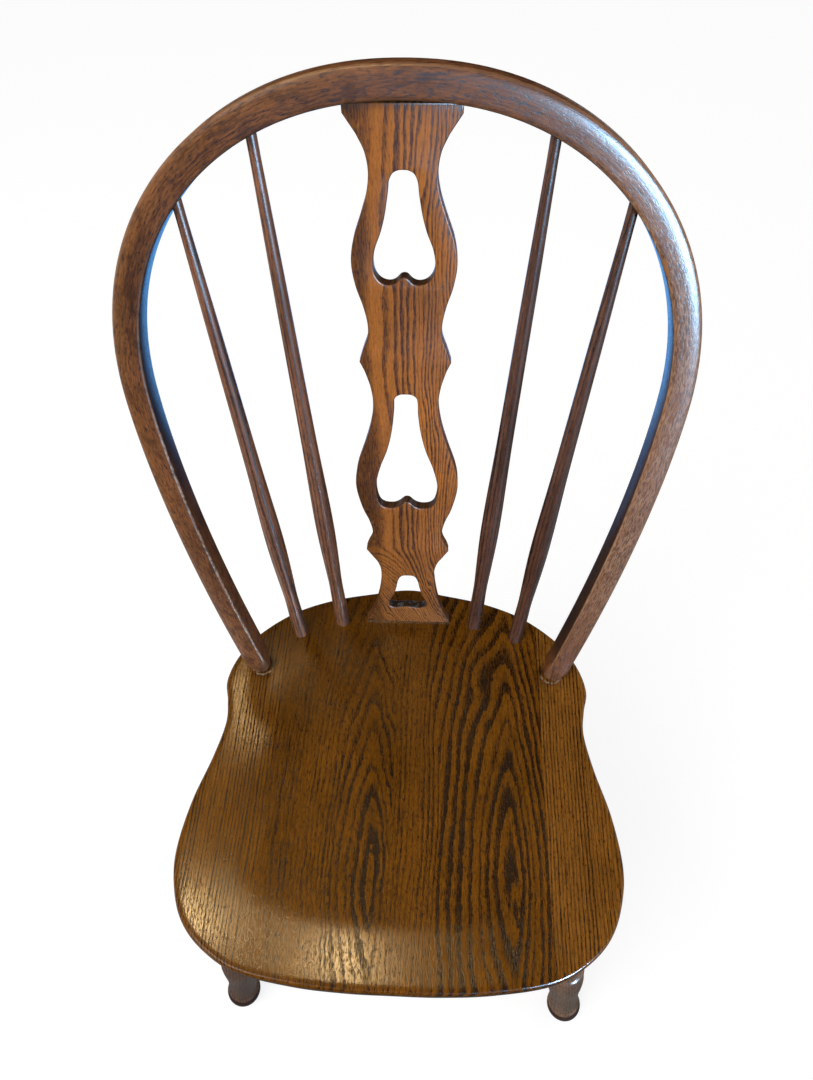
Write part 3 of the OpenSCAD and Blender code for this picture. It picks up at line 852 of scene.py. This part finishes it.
def seat_finish(x, y, z, edge, colour, rough):
    """A dark gap and old glue round the bow's ends, dust along the splat, painted highlights in specks where
    pores catch light, and a side painted darker as shade.
    """
    for sx in (-1, 1):
        dx, dy = x - sx * TENON_X, y - TENON_Y
        d = sqrt(dx * dx + dy * dy)
        top = step(-6, -1, z)
        gap = blob(x, y, sx * (TENON_X - 11), 15, 4, 7) + blob(x, y, sx * (TENON_X - 2), 1, 9, 3) * 0.6
        colour = mix_colour(clamp01(gap) * top * 0.85, colour, (0.012, 0.005, 0.002))
        ring = step(GLUE_IN, GLUE_IN + 1, d) * step(GLUE_OUT, GLUE_OUT - 1.2, d) * top * step(12, 6, y)
        patch = noise(x / 3, y / 3, z / 3, 2, 0.5, 4.0)
        colour = mix_colour(ring * step(0.4, 0.55, patch) * 0.7, colour, (0.4, 0.3, 0.22))
    along = step(SPLAT_Y - 4, SPLAT_Y - 1.5, y) * step(SPLAT_Y + 1, SPLAT_Y, y) * step(49, 46, size_of(x))
    crumbs = step(0.38, 0.62, noise(x / 5, y / 2, z, 2, 0.6, 90.0))
    colour = mix_colour(along * (crumbs * 0.3 + 0.06), colour, (0.24, 0.2, 0.15))
    # painted highlights: pale specks and golden glints where pores catch light
    painted_glint_speck = noise(x / 1.3, y / 1.6, z, 1, 0.5, 91.0)
    there = noise(x / 45, y / 45, z / 45, 1, 0.5, 93.0)
    colour = mix_colour(step(0.78, 0.82, painted_glint_speck) * step(0.55, 0.65, there) * 0.5, colour, (0.3, 0.22, 0.14))
    painted_pore_glint = step(0.62, 0.72, noise(x / 0.9, y / 1.8, z, 1, 0.5, 92.0))
    colour = mix_colour(painted_pore_glint * 0.22, colour, (0.34, 0.2, 0.08))
    # painted shade: the seat's side below the top's rounding is darkened
    colour = scale_colour(colour, 1.0 - step(0.2, -0.8, edge) * 0.7)
    return colour, rough + (noise(x / 30, y / 60, z / 30, 2, 0.5, 95.0) - 0.5) * 0.08


edge_board = dict(ragged=0.25, wobble=0.5, band=(0.3, 0.6), contrast=1.0, bead=0.35, dash_l=20, streak=1.8,
                  pore=1.6)
flame_2 = dict(ragged=0.6, wobble=0.6, band=(0.35, 0.65), contrast=1.2, pore=1.9, streak=1.7,
               bold=bold_board_2)
flame_3 = dict(flame_2, ragged=0.45, wobble=0.45, bold=bold_board_3)
board_looks = ((straight(3.4, 0.002), GOLD, edge_board), (grain_board_2, GOLD, flame_2),
               (grain_board_3, GOLD, flame_3), (straight(3.5, -0.003), PALE_GOLD, edge_board))
for i, (ob, (field, gold, kw)) in enumerate(zip(boards, board_looks)):
    give(ob, oak(f"oak_seat_{i + 1}", field, gold, UMBER, 0.26, 0.15, worn=(0.14, 0.06, 0.02), wear=0.15,
                 bump=0.12, shade=seat_tone_and_painted_shade, extra=seat_finish, **kw))

# ---------------------------------------------------------------- finish of the bow
PALE_FROM, PALE_TO = 460, 660  # the right side is painted pale as a painted sheen, fading out between these
BARE = 470  # middle of the bare orange spot
CHIPS = (478, 486, 508, 520)
WORN_GLINT_FROM = BOW_LINE - 350  # a worn line on the left inner edge, down to the seat, painted bright as the highlight it catches


def bow_finish(x, y, z, edge, colour, rough):
    """The right side is painted pale as a painted sheen, paler along its outer band as a painted highlight,
    with a bare spot and chips. The left is smudged, with golden streaks, and a worn line on its inner edge is
    painted bright as a highlight. The inner faces are painted dark as shade."""
    cloud = noise(x / 10 + y / 30, y / 16, z / 10, 3, 0.6, 41.0)
    # painted sheen on the right side, and a painted highlight along its outer band
    pale = step(0, 170, y) * step(PALE_TO, PALE_FROM, y) * (step(0.35, 0.65, cloud) * 0.3 + 0.5)
    pale = pale + step(-2, 9, x) * step(230, 330, y) * step(520, 430, y) * 0.3
    grit = step(0.42, 0.58, noise(x * 1.1, y / 6, z * 1.1, 2, 0.6, 45.0))
    colour = mix_colour(clamp01(pale) * (1.0 - grit * 0.85), colour, (0.58, 0.34, 0.21))
    golden = step(-3, 5, x) * step(700, 800, y) * step(BOW_LINE - 130, BOW_LINE - 260, y)
    colour = mix_colour(golden * grit * 0.45, colour, (0.34, 0.14, 0.03))
    smudge = step(0.5, 0.66, cloud) * step(560, 760, y)
    colour = mix_colour(smudge * 0.55, colour, (0.05, 0.018, 0.009))
    # painted shade: the inner faces are darkened nearly to black
    painted_shade_inside = step(-10.2, -10.8, x) * step(-11.0, -10.0, z)
    painted_shade_inside = painted_shade_inside * step(8, 50, y) * step(BOW_LINE - 160, BOW_LINE - 330, y)
    colour = mix_colour(painted_shade_inside * 0.85, colour, (0.016, 0.009, 0.008))
    front = step(-9.5, -10.8, z)
    bare = blob(x, y, -9.5, BARE, 2.2, 8) * front
    colour = mix_colour(step(0.35, 0.6, bare), colour, (0.42, 0.17, 0.05))
    chip = noise(x / 2, y / 5, z / 2, 2, 0.6, 43.0)
    inner = step(-8.6, -9.6, x) * front
    lost = inner * step(0.52, 0.62, chip) * step(CHIPS[0], CHIPS[1], y) * step(CHIPS[3], CHIPS[2], y)
    # the worn line along the left inner edge is painted bright as a painted highlight
    rub = inner * step(0.45, 0.6, chip) * step(WORN_GLINT_FROM, WORN_GLINT_FROM + 70, y)
    rub = rub * step(BOW_LINE - 8, BOW_LINE - 30, y)
    colour = mix_colour(most(lost, rub) * 0.75, colour, (0.6, 0.45, 0.33))
    return colour, rough


give(bow, oak("oak_bow_stain", grain_bow, (0.26, 0.1, 0.036), (0.04, 0.014, 0.007), 0.3, 0.28,
              worn=(0.3, 0.16, 0.09), wear=0.3, bump=0.13, wobble=0.9, ragged=0.8, mottle=0.38, contrast=0.5,
              pore=2.0, streak=1.3, fibre_w=1.2, extra=bow_finish))


# ---------------------------------------------------------------- finish of the splat
def splat_shade(x, y, z):
    """The sapwood side runs dark along the left rim, and the foot is a little darker."""
    drift = (noise(x / 12, y / 40, z / 12, 2, 0.5, 73.0) - 0.5) * 10
    return 1.0 - step(-25, -33, x + drift) * 0.35 - step(80, 25, y) * 0.18


def splat_finish(x, y, z, edge, colour, rough):
    """The floors of the three openings are painted dark as shade, with old grey dust in the lowest."""
    low = step(10, 15, y) * step(60, 42, y) * step(27, 24, size_of(x))
    mid = step(170 * HS, 174 * HS, y) * step(198 * HS, 184 * HS, y) * step(33, 30, size_of(x))
    top = step(408 * HS, 412 * HS, y) * step(434 * HS, 422 * HS, y) * step(28, 25, size_of(x))
    # painted shade: the floors of the openings are darkened nearly to black
    painted_shade_wall = step(4.9, 4.4, size_of(z)) * clamp01(low + mid * 0.85 + top * 0.85)
    dust = step(0.5, 0.62, noise(x / 5, y / 5, z / 4, 2, 0.5, 77.0))
    colour = mix_colour(painted_shade_wall * 0.93, colour, (0.012, 0.008, 0.006))
    return mix_colour(painted_shade_wall * low * dust * 0.35, colour, (0.16, 0.17, 0.17)), rough


give(splat, oak("oak_splat_stain", grain_splat, (0.54, 0.195, 0.04), (0.085, 0.026, 0.008), 0.22, 0.32,
                worn=(0.09, 0.033, 0.014), wear=0.3, bump=0.15, wobble=0.3, contrast=1.1, band=(0.28, 0.62),
                mottle=0.3, shade=splat_shade, extra=splat_finish))


# ---------------------------------------------------------------- finish of the turned pieces
def foot_finish(x, y, z, edge, colour, rough):
    """The ball under the ring is nearly black and still glossy."""
    return mix_colour(step(-0.1, -0.8, edge) * 0.85, colour, (0.025, 0.008, 0.008)), rough


turned_look = dict(wear=0.3, pore=1.2, contrast=1.0, streak=1.8, mottle=0.4, fibre_w=1.6, bump=0.12)
# painted light: the left spindles take a lighter, redder copy of the stain as the lit side, the right ones a
# darker copy as the shaded side
spindle_painted_lit = oak("oak_spindle_painted_lit", grain_turned, (0.31, 0.13, 0.066), (0.05, 0.018, 0.01), 0.35, 0.28,
          worn=(0.4, 0.28, 0.2), **turned_look)
spindle_painted_shaded = oak("oak_spindle_painted_shaded", grain_turned, (0.15, 0.064, 0.038), (0.012, 0.006, 0.005), 0.35, 0.26,
          worn=(0.3, 0.2, 0.15), **turned_look)
leg_look = dict(turned_look, contrast=0.6, streak=1.0, pore=0.8, extra=foot_finish)
leg = oak("oak_leg_stain", grain_turned, (0.16, 0.085, 0.055), (0.035, 0.016, 0.01), 0.45, 0.2,
          worn=(0.2, 0.11, 0.075), **leg_look)
for ob in spindles:
    give(ob, spindle_painted_lit if ob.name.endswith("left") else spindle_painted_shaded)
# painted sheen: the front right leg takes a paler copy of the leg stain for the light it reflects
leg_painted_lit = oak("oak_leg_stain_painted_lit", grain_turned, (0.27, 0.165, 0.11), (0.07, 0.036, 0.022), 0.45, 0.2,
                worn=(0.3, 0.18, 0.12), **leg_look)
for ob in base:
    give(ob, leg_painted_lit if ob.name == "oak_leg_front_right" else leg)


# ---------------------------------------------------------------- floor, light
FLOOR_SIZE = 30  # metres from the middle to the sides
FLOOR_GREY, FLOOR_GLOW = 0.34, 0.78  # with the key lamp on it the floor comes out white
WORLD_FILL = 0.5  # light that the white world gives to matt surfaces


def seen_directly(tree):
    """1 for rays from the camera, from gloss and through glass; 0 for the light on matt surfaces."""
    path = tree.nodes.new("ShaderNodeLightPath")
    a = tree.nodes.new("ShaderNodeMath")
    a.operation = "MAXIMUM"
    b = tree.nodes.new("ShaderNodeMath")
    b.operation = "MAXIMUM"
    tree.links.new(path.outputs["Is Camera Ray"], a.inputs[0])
    tree.links.new(path.outputs["Is Glossy Ray"], a.inputs[1])
    tree.links.new(a.outputs[0], b.inputs[0])
    tree.links.new(path.outputs["Is Transmission Ray"], b.inputs[1])
    return b.outputs[0]


def make_floor():
    """A floor that is white to the camera and in reflections, and still takes the chair's shadow."""
    bm = bmesh.new()
    bmesh.ops.create_grid(bm, x_segments=2, y_segments=2, size=FLOOR_SIZE)
    mesh = bpy.data.meshes.new("floor")
    bm.to_mesh(mesh)
    bm.free()
    ob = bpy.data.objects.new("floor", mesh)
    scene.collection.objects.link(ob)
    mat = bpy.data.materials.new("floor_white")
    mat.use_nodes = True
    tree = mat.node_tree
    tree.nodes.clear()
    out = tree.nodes.new("ShaderNodeOutputMaterial")
    diff = tree.nodes.new("ShaderNodeBsdfDiffuse")
    diff.inputs["Color"].default_value = (FLOOR_GREY, FLOOR_GREY, FLOOR_GREY, 1)
    glow = tree.nodes.new("ShaderNodeEmission")
    glow.inputs["Strength"].default_value = FLOOR_GLOW
    dark = tree.nodes.new("ShaderNodeEmission")
    dark.inputs["Strength"].default_value = 0
    pick = tree.nodes.new("ShaderNodeMixShader")
    tree.links.new(seen_directly(tree), pick.inputs[0])
    tree.links.new(dark.outputs[0], pick.inputs[1])
    tree.links.new(glow.outputs[0], pick.inputs[2])
    add = tree.nodes.new("ShaderNodeAddShader")
    tree.links.new(diff.outputs[0], add.inputs[0])
    tree.links.new(pick.outputs[0], add.inputs[1])
    tree.links.new(add.outputs[0], out.inputs[0])
    mesh.materials.append(mat)


def make_world():
    world = bpy.data.worlds.new("studio")
    scene.world = world
    world.use_nodes = True
    tree = world.node_tree
    tree.nodes.clear()
    out = tree.nodes.new("ShaderNodeOutputWorld")
    bg = tree.nodes.new("ShaderNodeBackground")
    rng = tree.nodes.new("ShaderNodeMapRange")
    rng.inputs["To Min"].default_value = WORLD_FILL
    rng.inputs["To Max"].default_value = 1.0
    tree.links.new(seen_directly(tree), rng.inputs["Value"])
    bg.inputs["Color"].default_value = (1, 1, 1, 1)
    tree.links.new(rng.outputs[0], bg.inputs["Strength"])
    tree.links.new(bg.outputs[0], out.inputs[0])


def soft_light(name, place, aim, size, watt, colour, glint=False):
    """An area lamp in metres and watts; a glint shows only in reflections."""
    data = bpy.data.lights.new(name, "AREA")
    data.shape = "RECTANGLE"
    data.size, data.size_y = size
    data.energy = watt
    data.color = colour
    ob = bpy.data.objects.new(name, data)
    scene.collection.objects.link(ob)
    ob.location = place
    ob.rotation_mode = "QUATERNION"
    ob.rotation_quaternion = (Vector(aim) - Vector(place)).to_track_quat("-Z", "Y")
    ob.visible_camera = False
    ob.visible_diffuse = not glint
    return ob


def card(name, place, size, colour, strength, upright=False):
    """A flat card beside the set, seen only in reflections."""
    x, y = size[0] / 2, size[1] / 2
    mesh = bpy.data.meshes.new(name)
    corners = [(-x, -y), (x, -y), (x, y), (-x, y)]
    mesh.from_pydata([(a, 0, b) if upright else (a, b, 0) for a, b in corners], [], [(0, 1, 2, 3)])
    ob = bpy.data.objects.new(name, mesh)
    scene.collection.objects.link(ob)
    ob.location = place
    ob.visible_camera = ob.visible_diffuse = ob.visible_shadow = ob.visible_transmission = False
    mat = bpy.data.materials.new(name)
    mat.use_nodes = True
    tree = mat.node_tree
    tree.nodes.clear()
    out = tree.nodes.new("ShaderNodeOutputMaterial")
    glow = tree.nodes.new("ShaderNodeEmission")
    glow.inputs["Color"].default_value = (*colour, 1)
    glow.inputs["Strength"].default_value = strength
    tree.links.new(glow.outputs[0], out.inputs[0])
    mesh.materials.append(mat)


make_floor()
make_world()
soft_light("key", (-1.1, -1.0, 2.6), (0, 0, 0.6), (1.4, 1.4), 34, (1.0, 0.96, 0.9))

# glints of the room: warm lamps overhead as (x, y, size, watt), bluish ones in front as (x, z, size, watt)
WARM, COOL, BLUE, BLACK = (1.0, 0.72, 0.36), (0.37, 0.67, 1.0), (0.13, 0.44, 1.0), (0, 0, 0)
WARM_GLINTS = ((-0.68, 0.16, (0.1, 0.18), 5.5), (-0.2, 0.06, (0.12, 0.16), 5),
               (-0.61, 0.84, (0.12, 0.24), 3.2))
COOL_GLINTS = ((1.44, 1.68, (0.36, 0.45), 290), (1.76, 1.1, (0.5, 0.8), 430))
for i, (x, y, size, watt) in enumerate(WARM_GLINTS):
    aim = (x * 0.3, y * 0.3 - 0.1, 0.44)
    soft_light(f"warm_glint_{i + 1}", (x, y, 2.2), aim, size, watt, WARM, glint=True)
for i, (x, z, size, watt) in enumerate(COOL_GLINTS):
    soft_light(f"cool_glint_{i + 1}", (x, -2.2, z), (0.15, 0.2, 0.9), size, watt, COOL, glint=True)

# what the lacquer mirrors: a dark room above, behind and in front, a dark floor with four blue patches
card("card_ceiling", (0, 0.6, 2.7), (6, 6), BLACK, 0)
card("card_back", (0, 3.6, 1.35), (6, 2.7), BLACK, 0, upright=True)
card("card_front", (0, -3.2, 1.35), (6, 2.7), BLACK, 0, upright=True)
card("card_floor_front", (0, -2.0, 0.003), (4, 2.4), BLACK, 0)
card("card_floor_near", (0.1, -0.3, 0.004), (1.0, 1.0), (0.9, 0.85, 0.8), 0.15)
card("card_behind_near", (0, 0.55, 0.003), (2.6, 0.6), BLACK, 0)
card("card_behind_mid", (0, 1.7, 0.003), (4.0, 1.7), BLACK, 0)
BLUE_PATCHES = ((-0.61, -0.13, 0.95, 2.25, 2.6), (0.13, 0.61, 1.03, 2.25, 2.6), (-0.13, 0.13, 0.98, 1.16, 3),
                (-0.27, -0.13, 0.76, 0.95, 1.6))  # x from, to, y from, to, glow
for i, (x0, x1, y0, y1, glow) in enumerate(BLUE_PATCHES):
    card(f"card_blue_{i + 1}", ((x0 + x1) / 2, (y0 + y1) / 2, 0.005), (x1 - x0, y1 - y0), BLUE, glow)
